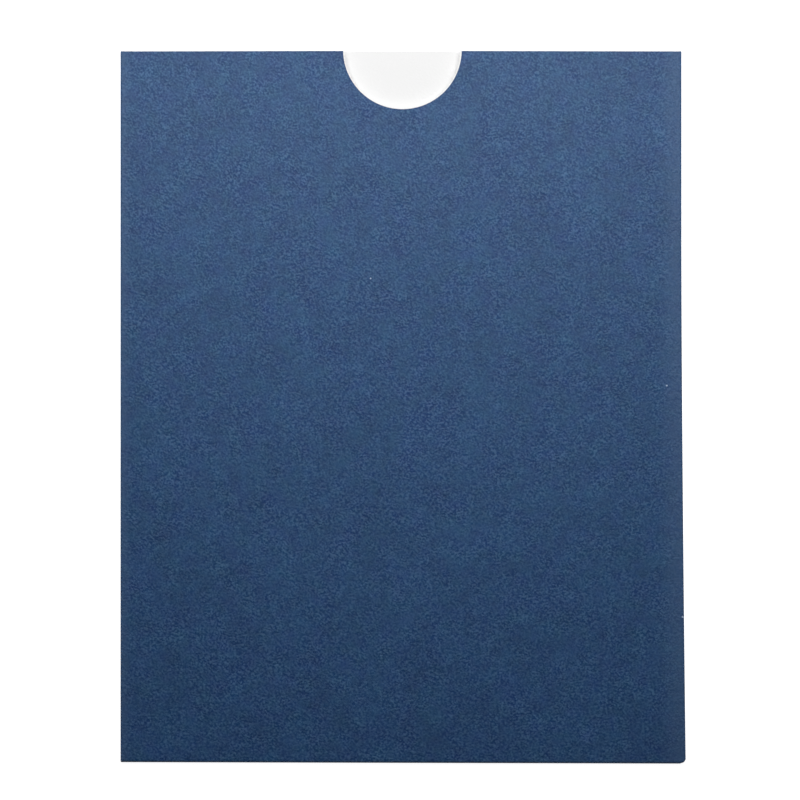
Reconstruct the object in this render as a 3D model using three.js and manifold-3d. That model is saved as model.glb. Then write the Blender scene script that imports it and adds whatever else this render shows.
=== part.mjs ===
// Receipt pocket: one sheet of card, creased, folded over and glued into a flat open-topped sleeve.
// The front panel carries a glue flap on each side, folded in behind it. The back panel hangs on the
// bottom fold, comes up behind the front and is glued on the flaps. The mouth is at the top (+Y) and
// a half-round thumb cut is taken out of the front panel only. It lies on its back, front face up (+Z).

import * as THREE from 'three';
import { mergeVertices } from 'three/addons/utils/BufferGeometryUtils.js';
import Module from 'manifold-3d';

// Driving dimensions in millimetres
const pocketWidth = 120.6;
const pocketHeight = 153.0;
const cardThickness = 0.36;
const insideGap = 0.12;
const glueBite = 0.02;

const thumbCutRadius = 12.7;
const thumbCutRise = 0.2;
const thumbCutOffset = 0.3;

const flapWidth = 14;
const flapRelief = 1.0;
const flapTopDrop = 1.5;
const flapBottomLift = 1.6;
const flapTaper = 3.0;

const backInset = 0.8;
const backTaperLength = 3.0;
const backTopDrop = 0.2;

const mouthBow = 0.9;
const creaseRunOut = 0.8;
const creaseRunOutLength = 60;
const wornCornerRadius = 1.1;

// How finely folds, panels and the thumb cut are divided
const foldSteps = 8;
const panelColumns = 24;
const panelRows = 20;
const thumbCutSides = 96;

// Levels of the three layers: back panel, side flaps on it, then the gap and the front panel
const halfCard = cardThickness / 2;
const backMiddle = halfCard;
const flapMiddle = backMiddle + cardThickness - glueBite;
const frontMiddle = flapMiddle + cardThickness + insideGap;
const frontTop = frontMiddle + halfCard;

// Each fold turns half a circle about the middle of the card
const sideFoldRadius = (frontMiddle - flapMiddle) / 2;
const bottomFoldRadius = (frontMiddle - backMiddle) / 2;
const sideFoldLength = Math.PI * sideFoldRadius;
const bottomFoldLength = Math.PI * bottomFoldRadius;

// The flat part of the front panel, between its creases
const halfFlat = pocketWidth / 2 - sideFoldRadius - halfCard;
const mouthY = pocketHeight / 2;
const bottomY = -pocketHeight / 2;
const foldY = bottomY + bottomFoldRadius + halfCard;
const frontHeight = mouthY - foldY;

const wasm = await Module();
wasm.setup();

function solidOf(geometry) {
  geometry.deleteAttribute('normal');
  geometry.deleteAttribute('uv');
  const merged = mergeVertices(geometry);
  const vertProperties = new Float32Array(merged.attributes.position.array);
  const triVerts = new Uint32Array(merged.index.array);
  return new wasm.Manifold(new wasm.Mesh({ numProp: 3, vertProperties, triVerts }));
}

function geometryOf(solid) {
  const mesh = solid.getMesh();
  const geometry = new THREE.BufferGeometry();
  geometry.setAttribute('position', new THREE.BufferAttribute(mesh.vertProperties, 3));
  geometry.setIndex(new THREE.BufferAttribute(mesh.triVerts, 1));
  geometry.computeVertexNormals();
  return geometry;
}

// Even steps from one value to another, both ends included
function steps(from, to, count) {
  return Array.from({ length: count + 1 }, (_, i) => THREE.MathUtils.lerp(from, to, i / count));
}

// The right-hand crease runs outwards over its lowest stretch, and the panel widens with it
function runOutAt(across, y) {
  const low = Math.max(0, 1 - (y - foldY) / creaseRunOutLength);
  const side = THREE.MathUtils.clamp(across / halfFlat, 0, 1);
  return creaseRunOut * Math.min(low, 1) * side;
}

// The front panel springs a little forward at the mouth, and not at all along its folds
function bowAt(across, y) {
  const side = 1 - (across / halfFlat) ** 2;
  const up = (y - foldY) / frontHeight;
  return mouthBow * side ** 2 * up ** 2;
}

// A point of the front panel; offset is measured from the middle of the card towards its outer face
function onFront(across, y, offset) {
  const x = across + runOutAt(across, y);
  return new THREE.Vector3(x, y, frontMiddle + offset + bowAt(across, y));
}

// A point of the flap, tucked behind the front: inward is the distance from the end of the side fold
function onFlap(side, inward, y, offset) {
  const relief = Math.min(inward / flapRelief, 1);
  const taper = flapTaper * Math.max(0, inward - flapRelief) / (flapWidth - flapRelief);
  const top = mouthY - relief * (flapTopDrop + taper);
  const bottom = foldY + relief * (flapBottomLift + taper);
  const x = side * (halfFlat - inward) + runOutAt(side * halfFlat, y);
  const height = THREE.MathUtils.mapLinear(y, foldY, mouthY, bottom, top);
  return new THREE.Vector3(x, height, flapMiddle - offset);
}

// The front panel with both side folds and flaps, by the distance across the sheet from its middle
function wrapAcross(across, y, offset) {
  const side = Math.sign(across);
  const past = Math.abs(across) - halfFlat;
  if (past <= 0) {
    return onFront(across, y, offset);
  }
  if (past >= sideFoldLength) {
    return onFlap(side, past - sideFoldLength, y, offset);
  }
  const turn = past / sideFoldRadius;
  const reach = sideFoldRadius + offset;
  const x = side * (halfFlat + reach * Math.sin(turn)) + runOutAt(side * halfFlat, y);
  const z = frontMiddle - sideFoldRadius + reach * Math.cos(turn);
  return new THREE.Vector3(x, y, z);
}

// The bottom fold and the back panel; along runs down the fold and then up the back
function wrapUnder(across, along, offset) {
  if (along <= 0) {
    return onFront(across, foldY, offset);
  }
  const { x } = onFront(across, foldY, offset);
  if (along < bottomFoldLength) {
    const turn = along / bottomFoldRadius;
    const reach = bottomFoldRadius + offset;
    const y = foldY - reach * Math.sin(turn);
    const z = frontMiddle - bottomFoldRadius + reach * Math.cos(turn);
    return new THREE.Vector3(x, y, z);
  }
  const up = along - bottomFoldLength;
  const narrowed = across * (pocketWidth / 2 - backInset) / halfFlat;
  const taper = Math.min(up / backTaperLength, 1);
  return new THREE.Vector3(THREE.MathUtils.lerp(x, narrowed, taper), foldY + up, backMiddle - offset);
}

// A box divided into a grid, with its corners moved onto the folded card
function foldedSheet(columns, rows, place) {
  const grid = new THREE.BoxGeometry(1, 1, 1, columns.length - 1, rows.length - 1, 1);
  const corners = grid.attributes.position;
  for (let i = 0; i < corners.count; i += 1) {
    const column = columns[Math.round((corners.getX(i) + 0.5) * (columns.length - 1))];
    const row = rows[Math.round((corners.getY(i) + 0.5) * (rows.length - 1))];
    const offset = Math.sign(corners.getZ(i)) * halfCard;
    const point = place(column, row, offset);
    corners.setXYZ(i, point.x, point.y, point.z);
  }
  return solidOf(grid);
}

const panelStations = steps(-halfFlat, halfFlat, panelColumns);

// Front panel, side folds and glue flaps
function frontWithFlaps() {
  const foldEnd = halfFlat + sideFoldLength;
  const rightStations = [
    ...steps(halfFlat, foldEnd, foldSteps).slice(1),
    foldEnd + flapRelief,
    foldEnd + flapWidth,
  ];
  const leftStations = rightStations.map((station) => -station).reverse();
  const columns = [...leftStations, ...panelStations, ...rightStations];
  return foldedSheet(columns, steps(foldY, mouthY, panelRows), wrapAcross);
}

// Bottom fold and back panel; rows run upwards on the front side of the fold, so they count backwards
function foldWithBack() {
  const backHeight = frontHeight - backTopDrop;
  const along = [
    ...steps(0, bottomFoldLength, foldSteps),
    bottomFoldLength + backTaperLength,
    bottomFoldLength + backHeight,
  ];
  const rows = along.reverse().map((distance) => -distance);
  return foldedSheet(panelStations, rows, (across, row, offset) => wrapUnder(across, -row, offset));
}

// Half-round thumb cut, through the front panel and into the gap behind it
function thumbCutter() {
  const gapMiddle = (backMiddle + frontMiddle) / 2;
  const height = frontTop + mouthBow + cardThickness - gapMiddle;
  const cylinder = new THREE.CylinderGeometry(thumbCutRadius, thumbCutRadius, height, thumbCutSides);
  cylinder.rotateX(Math.PI / 2);
  cylinder.translate(thumbCutOffset, mouthY + thumbCutRise, gapMiddle + height / 2);
  return solidOf(cylinder);
}

// What is worn off the lower right corner: the tip outside a quarter circle
function cornerCutter() {
  const right = pocketWidth / 2 + creaseRunOut;
  const margin = cardThickness;
  const tip = new THREE.Shape();
  tip.moveTo(right + margin, bottomY - margin);
  tip.lineTo(right + margin, bottomY + wornCornerRadius);
  tip.absarc(right - wornCornerRadius, bottomY + wornCornerRadius, wornCornerRadius, 0, -Math.PI / 2, true);
  tip.lineTo(right - wornCornerRadius, bottomY - margin);
  const depth = frontTop + 2 * margin;
  const prism = new THREE.ExtrudeGeometry(tip, { depth, bevelEnabled: false, curveSegments: foldSteps });
  prism.translate(0, 0, -margin);
  return solidOf(prism);
}

const folded = frontWithFlaps().add(foldWithBack());
const pocketSolid = folded.subtract(thumbCutter()).subtract(cornerCutter());

const navyCard = new THREE.MeshStandardMaterial({ color: '#2f5788', roughness: 0.75, metalness: 0 });
const pocket = new THREE.Mesh(geometryOf(pocketSolid), navyCard);
pocket.name = 'pocket';
pocket.position.x = -creaseRunOut / 2;

const receiptPocket = new THREE.Group();
receiptPocket.add(pocket);

export default receiptPocket;
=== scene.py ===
import math

import bmesh
import bpy
from bpy.props import FloatProperty, FloatVectorProperty, IntProperty, PointerProperty
from mathutils import Matrix, Vector


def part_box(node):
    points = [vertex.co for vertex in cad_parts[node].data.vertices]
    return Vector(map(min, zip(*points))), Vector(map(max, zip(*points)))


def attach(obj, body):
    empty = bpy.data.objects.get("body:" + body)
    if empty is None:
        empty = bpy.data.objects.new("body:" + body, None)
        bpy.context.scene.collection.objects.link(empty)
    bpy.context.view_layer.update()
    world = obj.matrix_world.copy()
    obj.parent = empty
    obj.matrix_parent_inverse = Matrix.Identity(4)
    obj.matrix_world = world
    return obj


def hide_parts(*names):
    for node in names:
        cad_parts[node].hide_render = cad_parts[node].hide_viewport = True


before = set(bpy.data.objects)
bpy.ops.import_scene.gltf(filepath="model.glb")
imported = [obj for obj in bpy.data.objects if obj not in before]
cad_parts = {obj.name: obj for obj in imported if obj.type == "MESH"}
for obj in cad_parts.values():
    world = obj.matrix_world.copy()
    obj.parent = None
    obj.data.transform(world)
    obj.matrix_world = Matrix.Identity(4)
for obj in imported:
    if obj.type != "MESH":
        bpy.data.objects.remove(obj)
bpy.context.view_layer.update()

bl_info = {
    "name": "Receipt Pocket",
    "version": (1, 0, 0),
    "blender": (4, 5, 0),
    "location": "3D View > Sidebar > Pocket",
    "description": "Folds a card receipt pocket with a thumb cut and lays it on a pale table",
    "category": "Object",
}

MM = 0.001
POCKET_LOW, POCKET_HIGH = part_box("pocket")


def length(name, description, millimetres, **limits):
    """A length property, given in millimetres and kept in metres."""
    return FloatProperty(
        name=name,
        description=description,
        default=millimetres * MM,
        unit="LENGTH",
        subtype="DISTANCE",
        precision=5,
        **limits,
    )


def colour(name, description, red, green, blue):
    """A colour property in linear light."""
    return FloatVectorProperty(
        name=name,
        description=description,
        default=(red, green, blue),
        subtype="COLOR",
        size=3,
        min=0.0,
        max=1.0,
    )


def number(name, description, default, **details):
    """A number property, with its limits and its unit or subtype if it has one."""
    return FloatProperty(name=name, description=description, default=default, **details)


class PocketSizes(bpy.types.PropertyGroup):
    """Sizes of the folded card that the overall box doesn't give"""

    pocket_width: length("Pocket Width", "Width across the side folds at the mouth", 120.6)
    card_thickness: length("Card Thickness", "Thickness of the card", 0.36, min=0.0001)
    glue_film: length("Glue Film", "Space between two glued faces", 0.01)
    inside_gap: length("Inside Gap", "Air between the flaps and the front panel", 0.1)
    cut_radius: length("Thumb Cut Radius", "Radius of the half-round cut in the mouth", 12.48)
    cut_rise: length("Thumb Cut Rise", "Height of the cut's centre above the mouth edge", 0.2)
    cut_offset: length("Thumb Cut Offset", "How far right of the middle the cut sits", 0.3)
    flap_width: length("Flap Width", "Width of the side flaps behind the front", 14.0)
    flap_relief: length("Flap Relief", "Length of the slanting cut beside the side fold", 1.0)
    flap_top_drop: length("Flap Top Drop", "How far the flap starts below the mouth", 1.5)
    flap_bottom_lift: length("Flap Bottom Lift", "How far the flap ends above the bottom", 1.6)
    flap_taper: length("Flap Taper", "Slant of the flap's two ends", 3.0)
    back_inset: length("Back Inset", "How much narrower the back is on each side", 0.8)
    back_taper: length("Back Taper", "Height over which the back narrows", 3.0)
    back_drop: length("Back Drop", "How far the back ends below the mouth", 0.0)
    back_hollow: length("Back Hollow", "How far the back draws in between the flaps", 0.08)
    mouth_bow: length("Mouth Bow", "How far the front springs forward at the mouth", 0.9)
    run_out: length("Crease Run-out", "How far the right crease runs out at the bottom", 0.92)
    run_out_length: length("Run-out Length", "Height over which the crease runs out", 110.0)
    run_out_curve: number("Run-out Curve", "1 is straight, and more sets in later", 1.5, min=1.0)
    fold_slant: length("Fold Slant", "How far the bottom fold falls towards the right", 0.16)
    worn_corner: length("Worn Corner", "Radius of the blunt lower right corner", 0.98)
    shoulder_width: length("Shoulder Width", "Width of the round shoulder at a side fold", 2.6)
    shoulder_drop: length("Shoulder Drop", "How far the shoulder falls towards the fold", 0.06)
    edge_softness: length("Edge Softness", "Width of the soft arris of a cut edge", 0.07)
    panel_pitch: length("Panel Pitch", "Spacing of the grid on the front panel", 2.0)
    fold_steps: IntProperty(
        name="Fold Steps", description="Faces round each fold", default=10, min=4
    )
    cut_steps: IntProperty(
        name="Cut Steps", description="Edges round the thumb cut", default=64, min=16
    )


class CardFinish(bpy.types.PropertyGroup):
    """Colours and paper texture of the card's two faces and its cut edge"""

    navy_deep: colour("Deep Navy", "Dye in the hollows between fibres", 0.0, 0.043, 0.154)
    navy_pale: colour("Pale Navy", "Fibres that took less dye", 0.046, 0.122, 0.263)
    inside_white: colour("Inside White", "Uncoated inner face", 0.925, 0.925, 0.925)
    core_white: colour("Core White", "Undyed core, bare at cut edges", 0.93, 0.93, 0.925)
    # Painted sheen and rub: a paler dyed face along the folds, standing in for the light that the
    # rounded folds catch
    fold_sheen_and_rub_pale: colour("Fold Sheen And Rub Pale", "Dyed face paler at the folds, painted sheen and rub", 0.055, 0.115, 0.235)
    dust: colour("Dust", "Pale specks of dust", 0.42, 0.53, 0.72)
    roughness: number("Roughness", "Roughness of the dyed face", 0.56, min=0.0, max=1.0)
    specular: number("Specular", "Soft shine of the dyed face", 0.43, min=0.0, max=1.0)
    relief: length("Relief", "Depth of the felt surface", 0.06)
    fibre_width: length("Fibre Width", "Width of the fine felt fibres", 0.44)
    fibre_strength: number("Fibre Strength", "How far fibres and hollows differ", 1.7, min=0.0)
    cloud_width: length("Cloud Width", "Width of the cloudy patches in the dye", 2.4)
    cloud_strength: number("Cloud Strength", "Light and dark of the patches", 0.5, min=0.0)
    drift_width: length("Drift Width", "Width of the drift between teal and violet", 3.4)
    drift_strength: number("Drift Strength", "Turn of the hue in the drift", 0.03, min=0.0)
    lip_width: length("Lip Width", "Bare white lip round the thumb cut", 0.24)
    crush_width: length("Crush Width", "Darker band that the die pressed beside the lip", 0.3)
    crush: number("Crush", "How dark the pressed band is", 0.8, min=0.0, max=1.0)
    # Painted sheen and rub on the folds: how strong it is, and how far it spreads at the right and
    # bottom
    fold_sheen_and_wear: number("Fold Sheen And Wear", "How pale the painted sheen and rub make the folds", 0.7, min=0.0, max=1.0)
    right_spread: number("Right Spread", "Right fold's sheen and rub beside the left one's", 2.2, min=0.1)
    bottom_spread: number("Bottom Spread", "Bottom sheen and rub beside the left one's", 0.33, min=0.1)
    white_roughness: number("White Roughness", "Roughness of white card", 0.85, min=0.0, max=1.0)
    white_specular: number("White Specular", "Soft shine of white card", 0.3, min=0.0, max=1.0)
    white_relief: number("White Relief", "Relief of white card beside the dyed", 0.25, min=0.0)
    inside_fibres: number("Inside Fibres", "Fibre strength of the inner face", 0.8, min=0.0)
    core_fibres: number("Core Fibres", "Fibre strength of the cut edges", 2.0, min=0.0)


class TableStage(bpy.types.PropertyGroup):
    """Pale table, soft lights and the camera above them"""

    table_size: length("Table Size", "Width of the square table top", 3000.0)
    table_gap: length("Table Gap", "Air between table and card", 0.02)
    table_colour: colour("Table Colour", "Plain pale table top", 0.8, 0.8, 0.8)
    backdrop: number("Backdrop Level", "Light that the camera alone sees", 0.95, min=0.0)
    sky: number("Sky Level", "Even light from all round", 0.03, min=0.0)
    key_power: number("Key Power", "Soft box beyond the mouth", 0.775, unit="POWER", min=0.0)
    side_power: number("Side Power", "Soft box on each side", 0.02, unit="POWER", min=0.0)
    lens: number("Lens", "Focal length", 200.0, subtype="DISTANCE_CAMERA", min=10.0)
    view_width: length("View Width", "Width that the picture takes in", 171.94)
    aim_x: length("Aim X", "Picture centre, right of the pocket's centre", -0.61)
    aim_y: length("Aim Y", "Picture centre, above the pocket's centre", 1.53)


# Folding the card. The sheet lies with its front at height 0 until it is lifted on the table.

# A point this near to a crease counts as on it, and this near to a row or column as in it
CLOSE = 0.01 * MM
SAME = 0.001 * MM

# Extra cuts across a shoulder, as shares of its width
SHOULDER_CUTS = (0.1, 0.2, 0.32, 0.46, 0.62, 0.8)

# How far below the mouth the first level row runs, in radii of the thumb cut
BELOW_CUT = 1.5

# Rows of faces up the back panel
BACK_ROWS = 24

# At a lower corner: how far the two folds' ends reach for each other, and how late they part
CORNER_REACH = 1.4
CORNER_PARTING = 3

# Fewer faces than this mean that a fold has failed
FEWEST_FACES = 1000


class Folding:
    """Levels, radii and reference lines of the folded card, from its sizes and the frame's box."""

    def __init__(self, sizes):
        self.half_card = sizes.card_thickness / 2
        self.back_level = self.half_card
        self.flap_level = self.back_level + sizes.card_thickness + sizes.glue_film
        self.front_level = self.flap_level + sizes.card_thickness + sizes.inside_gap
        self.side_radius = (self.front_level - self.flap_level) / 2
        self.bottom_radius = (self.front_level - self.back_level) / 2
        self.half_width = sizes.pocket_width / 2
        self.middle = POCKET_LOW.x + self.half_width
        self.half_flat = self.half_width - self.side_radius - self.half_card
        self.mouth = POCKET_HIGH.y
        self.foot = POCKET_LOW.y + self.bottom_radius + self.half_card
        self.height = self.mouth - self.foot
        self.cut_tilt = math.asin(sizes.cut_rise / sizes.cut_radius)
        self.half_chord = sizes.cut_radius * math.cos(self.cut_tilt)


def limited(value):
    """The value, kept between 0 and 1."""
    return min(max(value, 0), 1)


def of_kind(items, kind):
    """The items of one kind among those that an operator hands back."""
    return [item for item in items if isinstance(item, kind)]


def edges_where(mesh, test):
    """Edges with both ends at points that pass the test."""
    return [edge for edge in mesh.edges if all(test(vert.co) for vert in edge.verts)]


def extrude_row(mesh, edges, shift):
    """Extrudes a row of edges by a shift and returns the new row's edges and points."""
    new = bmesh.ops.extrude_edge_only(mesh, edges=edges)["geom"]
    points = of_kind(new, bmesh.types.BMVert)
    bmesh.ops.translate(mesh, verts=points, vec=shift)
    new_edges = of_kind(new, bmesh.types.BMEdge)
    return [edge for edge in new_edges if all(vert in points for vert in edge.verts)], points


def spin_round(mesh, start, centre, axis, angle, steps):
    """Spins a point or a row of edges round an axis and returns the edges at the far end."""
    spun = bmesh.ops.spin(mesh, geom=start, cent=centre, axis=axis, angle=angle, steps=steps)
    return of_kind(spun["geom_last"], bmesh.types.BMEdge)


def cut_columns_and_rows(mesh, sizes, fold):
    """Cuts the front panel along a grid, closer at its shoulders, so that it can bend."""
    near_fold = [sizes.shoulder_width * share for share in SHOULDER_CUTS]
    shoulder = [fold.half_flat - inwards for inwards in near_fold]
    columns = round(2 * fold.half_flat / sizes.panel_pitch)
    across = [fold.half_flat * (2 * i / columns - 1) for i in range(1, columns)]
    across = [x for x in across if abs(x - sizes.cut_offset) > fold.half_chord]
    across += shoulder + [-x for x in shoulder]
    rows = round(fold.height / sizes.panel_pitch)
    up = [fold.foot + inwards for inwards in near_fold]
    up += [fold.foot + fold.height * i / rows for i in range(2, rows)]
    cuts = [(Vector((x, 0, 0)), Vector((1, 0, 0))) for x in across]
    cuts += [(Vector((0, y, 0)), Vector((0, 1, 0))) for y in up]
    for point, normal in cuts:
        everything = mesh.verts[:] + mesh.edges[:] + mesh.faces[:]
        bmesh.ops.bisect_plane(mesh, geom=everything, plane_co=point, plane_no=normal, dist=CLOSE)


def front_panel(mesh, sizes, fold):
    """The flat front panel, spun from one lip of the thumb cut to the other and filled down."""
    lip = mesh.verts.new((sizes.cut_offset - fold.half_chord, fold.mouth, 0))
    centre = (sizes.cut_offset, fold.mouth + sizes.cut_rise, 0)
    half_turn = math.pi - 2 * fold.cut_tilt
    spin_round(mesh, [lip], centre, (0, 0, 1), half_turn, sizes.cut_steps)
    below_cut = fold.mouth - BELOW_CUT * sizes.cut_radius
    about_level = Matrix.Translation((0, -below_cut, 0))
    _, level = extrude_row(mesh, mesh.edges[:], (0, 0, 0))
    bmesh.ops.scale(mesh, vec=(1, 0, 1), space=about_level, verts=level)
    for side in (-1, 1):
        lip_x = sizes.cut_offset + side * fold.half_chord
        beside = edges_where(mesh, lambda point: abs(point.x - lip_x) < SAME)
        extrude_row(mesh, beside, (side * fold.half_flat - lip_x, 0, 0))
    lowest = edges_where(mesh, lambda point: abs(point.y - below_cut) < SAME)
    extrude_row(mesh, lowest, (0, fold.foot - below_cut, 0))
    cut_columns_and_rows(mesh, sizes, fold)


def side_flap(mesh, sizes, fold, side):
    """Folds one side of the front panel over and tucks its glue flap in behind."""
    crease_x = side * fold.half_flat
    crease = edges_where(mesh, lambda point: abs(point.x - crease_x) < CLOSE)
    centre = (crease_x, 0, -fold.side_radius)
    row = spin_round(mesh, crease, centre, (0, 1, 0), side * math.pi, sizes.fold_steps)
    widths = (sizes.flap_relief, sizes.flap_width - sizes.flap_relief)
    drops = (sizes.flap_top_drop, sizes.flap_top_drop + sizes.flap_taper)
    lifts = (sizes.flap_bottom_lift, sizes.flap_bottom_lift + sizes.flap_taper)
    for width, drop, lift in zip(widths, drops, lifts):
        row, points = extrude_row(mesh, row, (-side * width, 0, 0))
        bottom = min(point.co.y for point in points)
        top = max(point.co.y for point in points)
        squeeze = (fold.height - drop - lift) / (top - bottom)
        about_bottom = Matrix.Translation((0, -bottom, 0))
        bmesh.ops.scale(mesh, vec=(1, squeeze, 1), space=about_bottom, verts=points)
        bmesh.ops.translate(mesh, vec=(0, fold.foot + lift - bottom, 0), verts=points)


def back_panel(mesh, sizes, fold):
    """Folds the sheet under along the bottom and runs the back panel up to the mouth."""
    crease = edges_where(
        mesh,
        lambda point: abs(point.y - fold.foot) < CLOSE
        and abs(point.z) < SAME
        and abs(point.x) < fold.half_flat + CLOSE,
    )
    centre = (0, fold.foot, -fold.bottom_radius)
    row = spin_round(mesh, crease, centre, (1, 0, 0), math.pi, sizes.fold_steps)
    row, points = extrude_row(mesh, row, (0, sizes.back_taper, 0))
    narrowed = (fold.half_width - sizes.back_inset) / fold.half_flat
    bmesh.ops.scale(mesh, vec=(narrowed, 1, 1), verts=points)
    rise = (fold.height - sizes.back_drop - sizes.back_taper) / BACK_ROWS
    for _ in range(BACK_ROWS):
        row, points = extrude_row(mesh, row, (0, rise, 0))


def turn_at(depth, radius):
    """How far round its fold a point at that depth lies, from 0 to pi."""
    return math.acos(max(1 - depth / radius, -1))


def corner_reach(radius, met, turned):
    """How far a fold's end reaches for the other fold, from how far round both a point lies."""
    return CORNER_REACH * radius * math.sin(met) * (1 - (turned / math.pi) ** CORNER_PARTING)


def close_corners(mesh, fold):
    """Draws the ends of the side folds and of the bottom fold together at the lower corners."""
    for vert in mesh.verts:
        x, y, z = vert.co
        past_side, past_bottom = abs(x) - fold.half_flat, fold.foot - y
        round_side = turn_at(max(-z, 0), fold.side_radius)
        round_bottom = turn_at(max(-z, 0), fold.bottom_radius)
        if past_side > CLOSE and abs(past_bottom) < CLOSE:
            vert.co.y -= corner_reach(fold.bottom_radius, round_bottom, round_side)
        elif past_bottom > SAME and abs(past_side) < SAME:
            vert.co.x += math.copysign(corner_reach(fold.side_radius, round_side, round_bottom), x)


def spring_and_creep(mesh, sizes, fold):
    """Bows the mouth, rounds the shoulders, draws the back in and lets the creases run out."""
    for vert in mesh.verts:
        x, y, z = vert.co
        rise, past_side = y - fold.foot, abs(x) - fold.half_flat
        side = limited(x / fold.half_flat)
        low = limited(1 - rise / sizes.run_out_length)
        run_out = sizes.run_out * low**sizes.run_out_curve
        vert.co.y -= sizes.fold_slant * low * x / fold.half_flat

        # The shoulder's fall dies out round the fold
        radius = fold.bottom_radius if -rise > past_side else fold.side_radius
        share = max(1 - max(-z, 0) / (2 * radius), 0)
        into = limited(1 + past_side / sizes.shoulder_width)
        vert.co.z -= sizes.shoulder_drop * share * into**2

        if abs(z) < CLOSE and past_side <= CLOSE:
            # Front panel
            across, up = limited(abs(x) / fold.half_flat), max(rise / fold.height, 0)
            vert.co.z += sizes.mouth_bow * (1 - across**2) ** 2 * up**2
            vert.co.x += run_out * side
        elif z < -fold.bottom_radius and z < -2 * fold.side_radius - CLOSE:
            # Back panel and the lowest part of the bottom fold
            vert.co.x += sizes.run_out * side * (1 - limited(rise / sizes.back_taper))
            past_flap = (fold.half_width - sizes.flap_width - abs(x)) / sizes.shoulder_width
            drawn_in = limited(past_flap) * limited(rise / sizes.flap_width)
            vert.co.z += sizes.back_hollow * math.sin(drawn_in * math.pi / 2) ** 2
        elif rise < 0:
            # Rest of the bottom fold
            vert.co.x += sizes.run_out * side
        elif x > 0:
            # Right fold and its flap
            vert.co.x += run_out


def blunt_corner(mesh, sizes, fold):
    """Crushes the lower right corner back to a round one."""
    radius = sizes.worn_corner - fold.half_card
    right = fold.half_width - fold.half_card + sizes.run_out
    bottom = fold.foot - fold.bottom_radius
    centre = Vector((right - radius, bottom + radius, 0))
    for vert in mesh.verts:
        out = Vector((vert.co.x - centre.x, vert.co.y - centre.y, 0))
        if out.x > 0 and out.y < 0 and out.length > radius:
            vert.co -= out * (1 - radius / out.length)


def folded_sheet(sizes):
    """The whole sheet, folded, sprung and lifted to its level, with its dyed face outwards."""
    fold = Folding(sizes)
    mesh = bmesh.new()
    front_panel(mesh, sizes, fold)
    for side in (-1, 1):
        side_flap(mesh, sizes, fold, side)
    back_panel(mesh, sizes, fold)
    close_corners(mesh, fold)
    spring_and_creep(mesh, sizes, fold)
    blunt_corner(mesh, sizes, fold)
    bmesh.ops.translate(mesh, vec=(fold.middle, 0, fold.front_level), verts=mesh.verts)
    bmesh.ops.recalc_face_normals(mesh, faces=mesh.faces)
    front = max(mesh.faces, key=lambda face: face.calc_center_median().z)
    if front.normal.z < 0:
        bmesh.ops.reverse_faces(mesh, faces=mesh.faces)
    for face in mesh.faces:
        face.smooth = True
    return mesh


def give_thickness(piece, sizes):
    """Gives the sheet its thickness, a white inner face and core, and softened cut edges."""
    solid = piece.modifiers.new("card_thickness", "SOLIDIFY")
    solid.thickness = sizes.card_thickness
    solid.offset = 0.0
    solid.use_even_offset = True
    solid.use_quality_normals = True
    solid.material_offset = 1
    solid.material_offset_rim = 2
    soft = piece.modifiers.new("soft_cut_edges", "BEVEL")
    soft.width = sizes.edge_softness
    soft.segments = 2
    soft.limit_method = "ANGLE"
    soft.angle_limit = math.radians(60)
    soft.harden_normals = True
    soft.material = 2


def new_piece(scene, name, mesh, materials):
    """Puts the mesh in the scene as an object, with its materials in slot order."""
    data = bpy.data.meshes.new(name)
    mesh.to_mesh(data)
    mesh.free()
    piece = bpy.data.objects.new(name, data)
    scene.collection.objects.link(piece)
    for material in materials:
        data.materials.append(material)
    return piece


class POCKET_OT_fold_card(bpy.types.Operator):
    """Fold the dyed sheet into the pocket: front, side flaps, bottom fold and back"""

    bl_idname = "pocket.fold_card"
    bl_label = "Fold Card"

    def execute(self, context):
        scene = context.scene
        sizes = scene.pocket_sizes
        materials = card_materials(scene.card_finish, sizes)
        piece = new_piece(scene, "folded_card", folded_sheet(sizes), materials)
        if len(piece.data.polygons) < FEWEST_FACES:
            raise RuntimeError("The folded card came out with too few faces")
        give_thickness(piece, sizes)
        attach(piece, "root")
        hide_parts("pocket")
        return {"FINISHED"}


# Node trees and shader groups. Each group puts out only masks and values.

FLOAT, VECTOR = "NodeSocketFloat", "NodeSocketVector"
WHITE = (1.0, 1.0, 1.0, 1.0)

# Fibres: the turn of their noise against the patches', a fibre's width beside a patch's,
# how much denser the patches make them, and how the dye's tone follows their height
FIBRE_TURN = (0.9, 0.6, 0.4)
FIBRE_TO_PATCH = 0.12
PATCH_CONTRAST = 2.0
DYE_CURVE = 1.3

# Dye clouds: a cloud's width beside a broad one's, and the broad ones' share in the tone
CLOUD_TO_BROAD = 0.22
BROAD_SHARE = 0.5

# Painted sheen and rub on the folds: patches per metre, the noise that they run between, and the
# least of it
SHEEN_AND_RUB_PATCHES = 900.0
SHEEN_AND_RUB_NOISE = (0.35, 0.65)
LEAST_SHEEN_AND_RUB = 0.55


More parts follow.
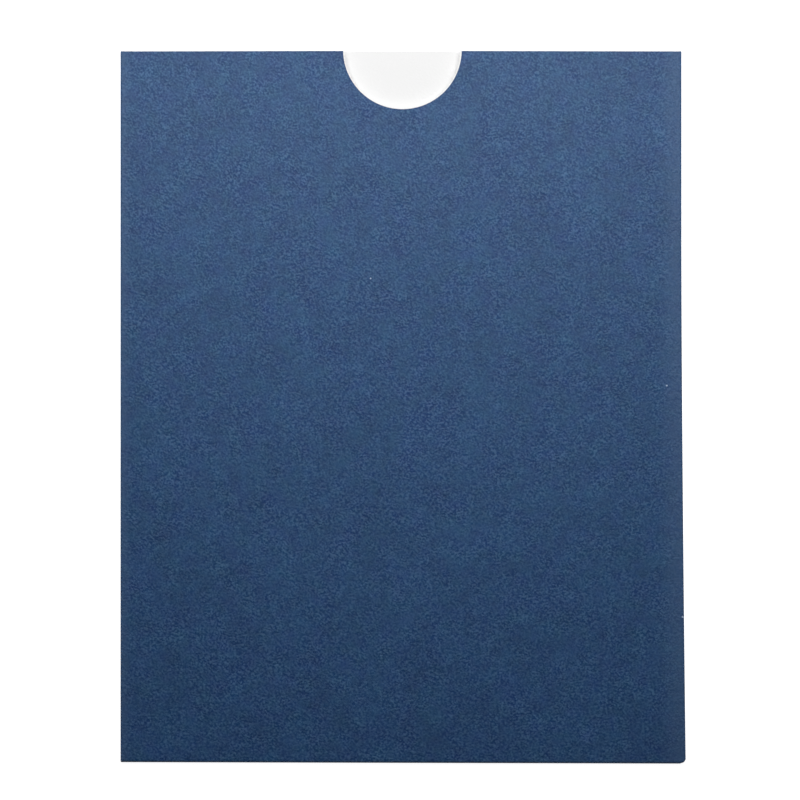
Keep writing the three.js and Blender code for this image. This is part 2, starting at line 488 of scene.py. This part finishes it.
class Sheet:
    """A node tree being filled in from left to right."""

    def __init__(self, tree):
        self.tree = tree
        self.column = 0

    def node(self, kind, inputs=None, **settings):
        """Adds a node, sets its properties, and sets or links its inputs."""
        made = self.tree.nodes.new(kind)
        made.location = (self.column * 200, -(self.column % 3) * 180)
        self.column += 1
        for name, value in settings.items():
            setattr(made, name, value)
        for key, value in (inputs or {}).items():
            if isinstance(value, bpy.types.NodeSocket):
                self.tree.links.new(value, made.inputs[key])
            else:
                made.inputs[key].default_value = value
        return made

    def calc(self, operation, first, second=0.5, third=0.5):
        """The output of a Math node."""
        inputs = {0: first, 1: second, 2: third}
        return self.node("ShaderNodeMath", inputs, operation=operation).outputs[0]

    def noise(self, vector, scale, **details):
        """The value of a noise texture, which is 0.5 on average."""
        inputs = {"Vector": vector, "Scale": scale, **details}
        return self.node("ShaderNodeTexNoise", inputs).outputs["Fac"]

    def ramp(self, value, start, end, first, last, **settings):
        """A value that goes from the first to the last as the given one goes from start to end."""
        inputs = {"Value": value, 1: start, 2: end, 3: first, 4: last}
        return self.node("ShaderNodeMapRange", inputs, **settings).outputs[0]

    def mix(self, mask, first, second):
        """Two colours mixed by a mask."""
        inputs = {0: mask, 6: first, 7: second}
        return self.node("ShaderNodeMix", inputs, data_type="RGBA").outputs[2]

    def group(self, name, inputs):
        """The outputs of a shader group placed in the tree."""
        group = bpy.data.node_groups[name]
        return self.node("ShaderNodeGroup", inputs, node_tree=group).outputs


def new_group(name, inputs, outputs):
    """A new shader group with named sockets: its sheet, and the sockets of its input node."""
    group = bpy.data.node_groups.new(name, "ShaderNodeTree")
    for label, kind, default in inputs:
        socket = group.interface.new_socket(name=label, in_out="INPUT", socket_type=kind)
        if default is not None:
            socket.default_value = default
    for label in outputs:
        group.interface.new_socket(name=label, in_out="OUTPUT", socket_type=FLOAT)
    sheet = Sheet(group)
    return sheet, sheet.node("NodeGroupInput").outputs


def felt_fibres_group(name):
    """Short fibres, in denser and smoother patches: a mask and a height, both round 0.5."""
    sheet, given = new_group(
        name,
        [("Vector", VECTOR, None), ("Fibre Width", FLOAT, 0.0005), ("Strength", FLOAT, 1.0)],
        ["Mask", "Height"],
    )
    turned = sheet.node(
        "ShaderNodeVectorRotate",
        {"Vector": given["Vector"], "Rotation": FIBRE_TURN},
        rotation_type="EULER_XYZ",
    )
    scale = sheet.calc("DIVIDE", 1.0, given["Fibre Width"])
    patch_scale = sheet.calc("MULTIPLY", scale, FIBRE_TO_PATCH)
    fibres = sheet.noise(turned.outputs[0], scale, Detail=0.0, Distortion=0.3)
    patches = sheet.noise(given["Vector"], patch_scale, Detail=1.0)
    patch_tone = sheet.calc("SUBTRACT", patches, 0.5)
    density = sheet.calc("MULTIPLY_ADD", patch_tone, PATCH_CONTRAST, 1.0)
    fibre_tone = sheet.calc("SUBTRACT", fibres, 0.5)
    tone = sheet.calc("MULTIPLY", fibre_tone, density)
    height = sheet.calc("ADD", tone, 0.5)
    level = sheet.calc("MULTIPLY_ADD", tone, given["Strength"], 0.5)
    above = sheet.calc("MAXIMUM", level, 0.0)
    mask = sheet.calc("POWER", above, DYE_CURVE)
    sheet.node("NodeGroupOutput", {"Mask": mask, "Height": height})


def dye_clouds_group(name):
    """Cloudy patches where the dye took unevenly: a tone and a hue drift, both round 0."""
    sheet, given = new_group(
        name,
        [("Vector", VECTOR, None), ("Cloud Width", FLOAT, 0.002), ("Drift Width", FLOAT, 0.004)],
        ["Tone", "Drift"],
    )
    cloud_scale = sheet.calc("DIVIDE", 1.0, given["Cloud Width"])
    broad_scale = sheet.calc("MULTIPLY", cloud_scale, CLOUD_TO_BROAD)
    drift_scale = sheet.calc("DIVIDE", 1.0, given["Drift Width"])
    clouds = sheet.noise(given["Vector"], cloud_scale, Detail=2.0, Roughness=0.65)
    broad = sheet.noise(given["Vector"], broad_scale, Detail=1.0)
    drifts = sheet.noise(given["Vector"], drift_scale, Detail=1.0, Roughness=0.6)
    cloud_tone = sheet.calc("SUBTRACT", clouds, 0.5)
    broad_tone = sheet.calc("SUBTRACT", broad, 0.5)
    tone = sheet.calc("MULTIPLY_ADD", broad_tone, BROAD_SHARE, cloud_tone)
    drift = sheet.calc("SUBTRACT", drifts, 0.5)
    sheet.node("NodeGroupOutput", {"Tone": tone, "Drift": drift})


def fold_sheen_and_rub_group(name):
    """Where the folds at the left, right and bottom are paler, as painted sheen and rub: a mask
    from 0 to 1.
    """
    sheet, given = new_group(
        name,
        [
            ("Vector", VECTOR, None),
            ("Left", FLOAT, -0.06),
            ("Right", FLOAT, 0.06),
            ("Bottom", FLOAT, -0.076),
            ("Width", FLOAT, 0.002),
            ("Right Spread", FLOAT, 1.0),
            ("Bottom Spread", FLOAT, 1.0),
        ],
        ["Mask"],
    )
    place = sheet.node("ShaderNodeSeparateXYZ", {0: given["Vector"]}).outputs
    from_left = sheet.calc("SUBTRACT", place["X"], given["Left"])
    from_right = sheet.calc("SUBTRACT", given["Right"], place["X"])
    from_bottom = sheet.calc("SUBTRACT", place["Y"], given["Bottom"])
    right_reach = sheet.calc("DIVIDE", from_right, given["Right Spread"])
    bottom_reach = sheet.calc("DIVIDE", from_bottom, given["Bottom Spread"])
    nearest_side = sheet.calc("MINIMUM", from_left, right_reach)
    nearest = sheet.calc("MINIMUM", nearest_side, bottom_reach)
    ratio = sheet.calc("DIVIDE", nearest, given["Width"])
    near = sheet.ramp(ratio, 0.0, 1.0, 1.0, 0.0, interpolation_type="SMOOTHSTEP")
    patches = sheet.noise(given["Vector"], SHEEN_AND_RUB_PATCHES, Detail=3.0)
    broken = sheet.ramp(patches, *SHEEN_AND_RUB_NOISE, LEAST_SHEEN_AND_RUB, 1.0)
    sheet.node("NodeGroupOutput", {"Mask": sheet.calc("MULTIPLY", near, broken)})


def spot_on_front_group(name):
    """A round spot on the front, seen from above: 1 up to the full radius, 0 past the faded one."""
    sheet, given = new_group(
        name,
        [
            ("Vector", VECTOR, None),
            ("Place", VECTOR, (0.0, 0.0, 0.0)),
            ("Full Radius", FLOAT, 0.0001),
            ("Faded Radius", FLOAT, 0.0003),
        ],
        ["Mask"],
    )
    vector_calc = "ShaderNodeVectorMath"
    gap = sheet.node(vector_calc, {0: given["Vector"], 1: given["Place"]}, operation="SUBTRACT")
    gap = gap.outputs[0]
    level = sheet.node(vector_calc, {0: gap, 1: (1.0, 1.0, 0.0)}, operation="MULTIPLY")
    apart = sheet.node(vector_calc, {0: level.outputs[0]}, operation="LENGTH").outputs["Value"]
    radii = given["Full Radius"], given["Faded Radius"]
    inside = sheet.ramp(apart, *radii, 1.0, 0.0, interpolation_type="SMOOTHSTEP")
    height = sheet.node("ShaderNodeSeparateXYZ", {0: gap}).outputs["Z"]
    above = sheet.calc("GREATER_THAN", height, 0.0)
    sheet.node("NodeGroupOutput", {"Mask": sheet.calc("MULTIPLY", inside, above)})


SHADER_GROUPS = {
    "felt_fibres": felt_fibres_group,
    "dye_clouds": dye_clouds_group,
    "fold_sheen_and_rub": fold_sheen_and_rub_group,
    "spot_on_front": spot_on_front_group,
}


# Materials

# Specks on the front: place in the photograph in pixels, and radius in millimetres
SPECKS = ((370.5, 278.0, 0.2), (666.5, 385.0, 0.22), (682.5, 616.0, 0.28))

# A speck is full up to the first share of its radius, and has faded at the second
SPECK_CORE, SPECK_REACH = 0.4, 1.2

# The pocket's edges in the photograph, in pixels
PHOTO_LEFT, PHOTO_RIGHT = 120.3, 685.0
PHOTO_TOP, PHOTO_BOTTOM = 51.0, 762.0

# The bare lip's edge fades over this share of its width, to each side
LIP_FADE = 1 / 6

# The hollows of a white face beside its fibres
HOLLOW_SHADE = 0.98


def rgba(red_green_blue):
    """A colour property as the four numbers that a socket takes."""
    return (*red_green_blue, 1.0)


def cleared(owner):
    """The emptied node tree of a material or of the world."""
    owner.use_nodes = True
    owner.node_tree.nodes.clear()
    return Sheet(owner.node_tree)


def new_card(name):
    """A material for the card: itself, its sheet and its Object coordinates."""
    material = bpy.data.materials.new(name)
    sheet = cleared(material)
    return material, sheet, sheet.node("ShaderNodeTexCoord").outputs["Object"]


def felted(sheet, place, finish, deep, pale, strength):
    """The colour and height of a felt surface between two tones."""
    inputs = {"Vector": place, "Fibre Width": finish.fibre_width, "Strength": strength}
    fibres = sheet.group("felt_fibres", inputs)
    return sheet.mix(fibres["Mask"], rgba(deep), rgba(pale)), fibres["Height"]


def finish_surface(sheet, base, height, relief, roughness, specular):
    """Ends a material in a Principled shader with a felt relief."""
    bump = sheet.node("ShaderNodeBump", {"Strength": 1.0, "Distance": relief, "Height": height})
    inputs = {
        "Base Color": base,
        "Roughness": roughness,
        "Specular IOR Level": specular,
        "Normal": bump.outputs[0],
    }
    shader = sheet.node("ShaderNodeBsdfPrincipled", inputs)
    sheet.node("ShaderNodeOutputMaterial", {"Surface": shader.outputs[0]})


def on_front(across, down, level):
    """A point on the front panel from its place in the photograph."""
    right = (across - PHOTO_LEFT) / (PHOTO_RIGHT - PHOTO_LEFT)
    below = (down - PHOTO_TOP) / (PHOTO_BOTTOM - PHOTO_TOP)
    x = POCKET_LOW.x + right * (POCKET_HIGH.x - POCKET_LOW.x)
    y = POCKET_HIGH.y - below * (POCKET_HIGH.y - POCKET_LOW.y)
    return (x, y, level)


def spot(sheet, place, centre, full, faded):
    """The mask of a round spot on the front."""
    inputs = {"Vector": place, "Place": centre, "Full Radius": full, "Faded Radius": faded}
    return sheet.group("spot_on_front", inputs)["Mask"]


def dyed_card(finish, sizes):
    """The dyed outer face: felt, cloudy dye, painted sheen and rub on the folds, specks and a bare
    lip at the cut.
    """
    material, sheet, place = new_card("dyed_felt_card")
    felt, height = felted(
        sheet, place, finish, finish.navy_deep, finish.navy_pale, finish.fibre_strength
    )

    widths = {"Cloud Width": finish.cloud_width, "Drift Width": finish.drift_width}
    clouds = sheet.group("dye_clouds", {"Vector": place, **widths})
    value = sheet.calc("MULTIPLY_ADD", clouds["Tone"], finish.cloud_strength, 1.0)
    hue = sheet.calc("MULTIPLY_ADD", clouds["Drift"], finish.drift_strength, 0.5)
    dyed = sheet.node("ShaderNodeHueSaturation", {"Hue": hue, "Value": value, "Color": felt})

    sheen_and_rub_inputs = {
        "Vector": place,
        "Left": POCKET_LOW.x,
        "Right": POCKET_LOW.x + sizes.pocket_width,
        "Bottom": POCKET_LOW.y,
        "Width": sizes.shoulder_width,
        "Right Spread": finish.right_spread,
        "Bottom Spread": finish.bottom_spread,
    }
    # Painted sheen and rub: the dyed face turns paler along the folds
    sheen_and_rub = sheet.calc("MULTIPLY", sheet.group("fold_sheen_and_rub", sheen_and_rub_inputs)["Mask"], finish.fold_sheen_and_wear)
    base = sheet.mix(sheen_and_rub, dyed.outputs[0], rgba(finish.fold_sheen_and_rub_pale))

    fold = Folding(sizes)
    for across, down, radius in SPECKS:
        centre = on_front(across, down, fold.front_level)
        core, reach = SPECK_CORE * radius * MM, SPECK_REACH * radius * MM
        speck = spot(sheet, place, centre, core, reach)
        base = sheet.mix(speck, base, rgba(finish.dust))

    centre = (fold.middle + sizes.cut_offset, fold.mouth + sizes.cut_rise, fold.front_level)
    lip = sizes.cut_radius + finish.lip_width
    fade = finish.lip_width * LIP_FADE
    crushed = spot(sheet, place, centre, lip, lip + finish.crush_width)
    crush_share = sheet.calc("MULTIPLY", crushed, finish.crush)
    base = sheet.mix(crush_share, base, rgba(finish.navy_deep))
    bare = spot(sheet, place, centre, lip - fade, lip + fade)
    base = sheet.mix(bare, base, rgba(finish.core_white))
    finish_surface(sheet, base, height, finish.relief, finish.roughness, finish.specular)
    return material


def white_card(name, finish, white, strength):
    """An undyed face or cut edge, with the same fibres but fainter."""
    material, sheet, place = new_card(name)
    shade = [HOLLOW_SHADE * part for part in white]
    base, height = felted(sheet, place, finish, shade, white, strength)
    relief = finish.relief * finish.white_relief
    roughness, specular = finish.white_roughness, finish.white_specular
    finish_surface(sheet, base, height, relief, roughness, specular)
    return material


def card_materials(finish, sizes):
    """The dyed face, the inner face and the cut edge, in slot order."""
    for name, build in SHADER_GROUPS.items():
        if name not in bpy.data.node_groups:
            build(name)
    return (
        dyed_card(finish, sizes),
        white_card("white_inner_card", finish, finish.inside_white, finish.inside_fibres),
        white_card("white_card_core", finish, finish.core_white, finish.core_fibres),
    )


def pale_table(stage):
    """A pale table, white for the camera and in reflections, that keeps the pocket's shadow."""
    material = bpy.data.materials.new("pale_table")
    sheet = cleared(material)
    paint = sheet.node("ShaderNodeBsdfDiffuse", {"Color": rgba(stage.table_colour)})
    ray = sheet.node("ShaderNodeLightPath").outputs
    seen = sheet.calc("MAXIMUM", ray["Is Camera Ray"], ray["Is Glossy Ray"])
    seen_all = sheet.calc("MAXIMUM", seen, ray["Is Transmission Ray"])
    level = sheet.calc("MULTIPLY", seen_all, stage.backdrop)
    glow = sheet.node("ShaderNodeEmission", {"Color": WHITE, "Strength": level})
    both = sheet.node("ShaderNodeAddShader", {0: paint.outputs[0], 1: glow.outputs[0]})
    sheet.node("ShaderNodeOutputMaterial", {"Surface": both.outputs[0]})
    return material


# Stage, in metres from the middle of the pocket's underside

# The soft box beyond the mouth: place, aim, and width and height
KEY_PLACE, KEY_AIM, KEY_SIZE = (0.004, 0.152, 0.22), (0.0, 0.05, 0.0), (0.34, 0.16)

# The soft boxes on both sides: how far out, how high, and width and height
SIDE_OUT, SIDE_UP, SIDE_SIZE = 0.34, 0.12, (0.12, 0.4)


def even_sky(scene, stage):
    """An even pale world, white where the camera sees past the table."""
    world = bpy.data.worlds.new("even_sky")
    sheet = cleared(world)
    ray = sheet.node("ShaderNodeLightPath").outputs
    seen = sheet.calc("MAXIMUM", ray["Is Camera Ray"], ray["Is Transmission Ray"])
    level = sheet.ramp(seen, 0.0, 1.0, stage.sky, 1.0)
    sky = sheet.node("ShaderNodeBackground", {"Color": WHITE, "Strength": level})
    sheet.node("ShaderNodeOutputWorld", {"Surface": sky.outputs[0]})
    scene.world = world


def soft_box(scene, name, place, aim, size, power):
    """A rectangular soft light aimed at a point."""
    light = bpy.data.lights.new(name, "AREA")
    light.shape = "RECTANGLE"
    light.size, light.size_y = size
    light.energy = power
    lamp = bpy.data.objects.new(name, light)
    lamp.location = place
    lamp.rotation_mode = "QUATERNION"
    lamp.rotation_quaternion = (Vector(aim) - Vector(place)).to_track_quat("-Z", "Y")
    scene.collection.objects.link(lamp)


def overhead_camera(scene, stage):
    """A camera straight above the front, as far off as its lens needs for the view's width."""
    camera = bpy.data.cameras.new("overhead")
    camera.lens = stage.lens
    eye = bpy.data.objects.new("overhead", camera)
    centre = (POCKET_LOW + POCKET_HIGH) / 2
    front = Folding(scene.pocket_sizes).front_level
    distance = stage.view_width * camera.lens / camera.sensor_width
    eye.location = (centre.x + stage.aim_x, centre.y + stage.aim_y, front + distance)
    scene.collection.objects.link(eye)
    scene.camera = eye


class POCKET_OT_lay_table(bpy.types.Operator):
    """Lay the pale table, hang the soft lights and set the camera above the pocket"""

    bl_idname = "pocket.lay_table"
    bl_label = "Lay Table"

    def execute(self, context):
        scene = context.scene
        stage = scene.table_stage
        mesh = bmesh.new()
        bmesh.ops.create_grid(mesh, x_segments=1, y_segments=1, size=stage.table_size / 2)
        bmesh.ops.translate(mesh, vec=(0, 0, -stage.table_gap), verts=mesh.verts)
        new_piece(scene, "table", mesh, [pale_table(stage)])
        even_sky(scene, stage)
        soft_box(scene, "key_soft_box", KEY_PLACE, KEY_AIM, KEY_SIZE, stage.key_power)
        for name, side in (("left_soft_box", -1), ("right_soft_box", 1)):
            place = (side * SIDE_OUT, 0.0, SIDE_UP)
            soft_box(scene, name, place, (0.0, 0.0, 0.0), SIDE_SIZE, stage.side_power)
        overhead_camera(scene, stage)
        scene.view_settings.view_transform = "Standard"
        return {"FINISHED"}


class POCKET_PT_panel(bpy.types.Panel):
    """Sizes, finish and stage of the pocket"""

    bl_idname = "POCKET_PT_panel"
    bl_label = "Receipt Pocket"
    bl_space_type = "VIEW_3D"
    bl_region_type = "UI"
    bl_category = "Pocket"

    def draw(self, context):
        layout = self.layout
        for label, group in (
            ("Card", context.scene.pocket_sizes),
            ("Finish", context.scene.card_finish),
            ("Stage", context.scene.table_stage),
        ):
            box = layout.box()
            box.label(text=label)
            for name in group.bl_rna.properties.keys():
                if name not in ("rna_type", "name"):
                    box.prop(group, name)
        for operator in (POCKET_OT_fold_card, POCKET_OT_lay_table):
            layout.operator(operator.bl_idname)


CLASSES = (
    PocketSizes,
    CardFinish,
    TableStage,
    POCKET_OT_fold_card,
    POCKET_OT_lay_table,
    POCKET_PT_panel,
)


def register():
    """Adds the pocket's settings, operators and panel to Blender."""
    for item in CLASSES:
        bpy.utils.register_class(item)
    bpy.types.Scene.pocket_sizes = PointerProperty(type=PocketSizes)
    bpy.types.Scene.card_finish = PointerProperty(type=CardFinish)
    bpy.types.Scene.table_stage = PointerProperty(type=TableStage)


def unregister():
    """Takes them out again."""
    del bpy.types.Scene.table_stage
    del bpy.types.Scene.card_finish
    del bpy.types.Scene.pocket_sizes
    for item in reversed(CLASSES):
        bpy.utils.unregister_class(item)


def main():
    """Builds the pocket and its stage."""
    register()
    bpy.ops.pocket.fold_card()
    bpy.ops.pocket.lay_table()


if __name__ == "__main__":
    main()
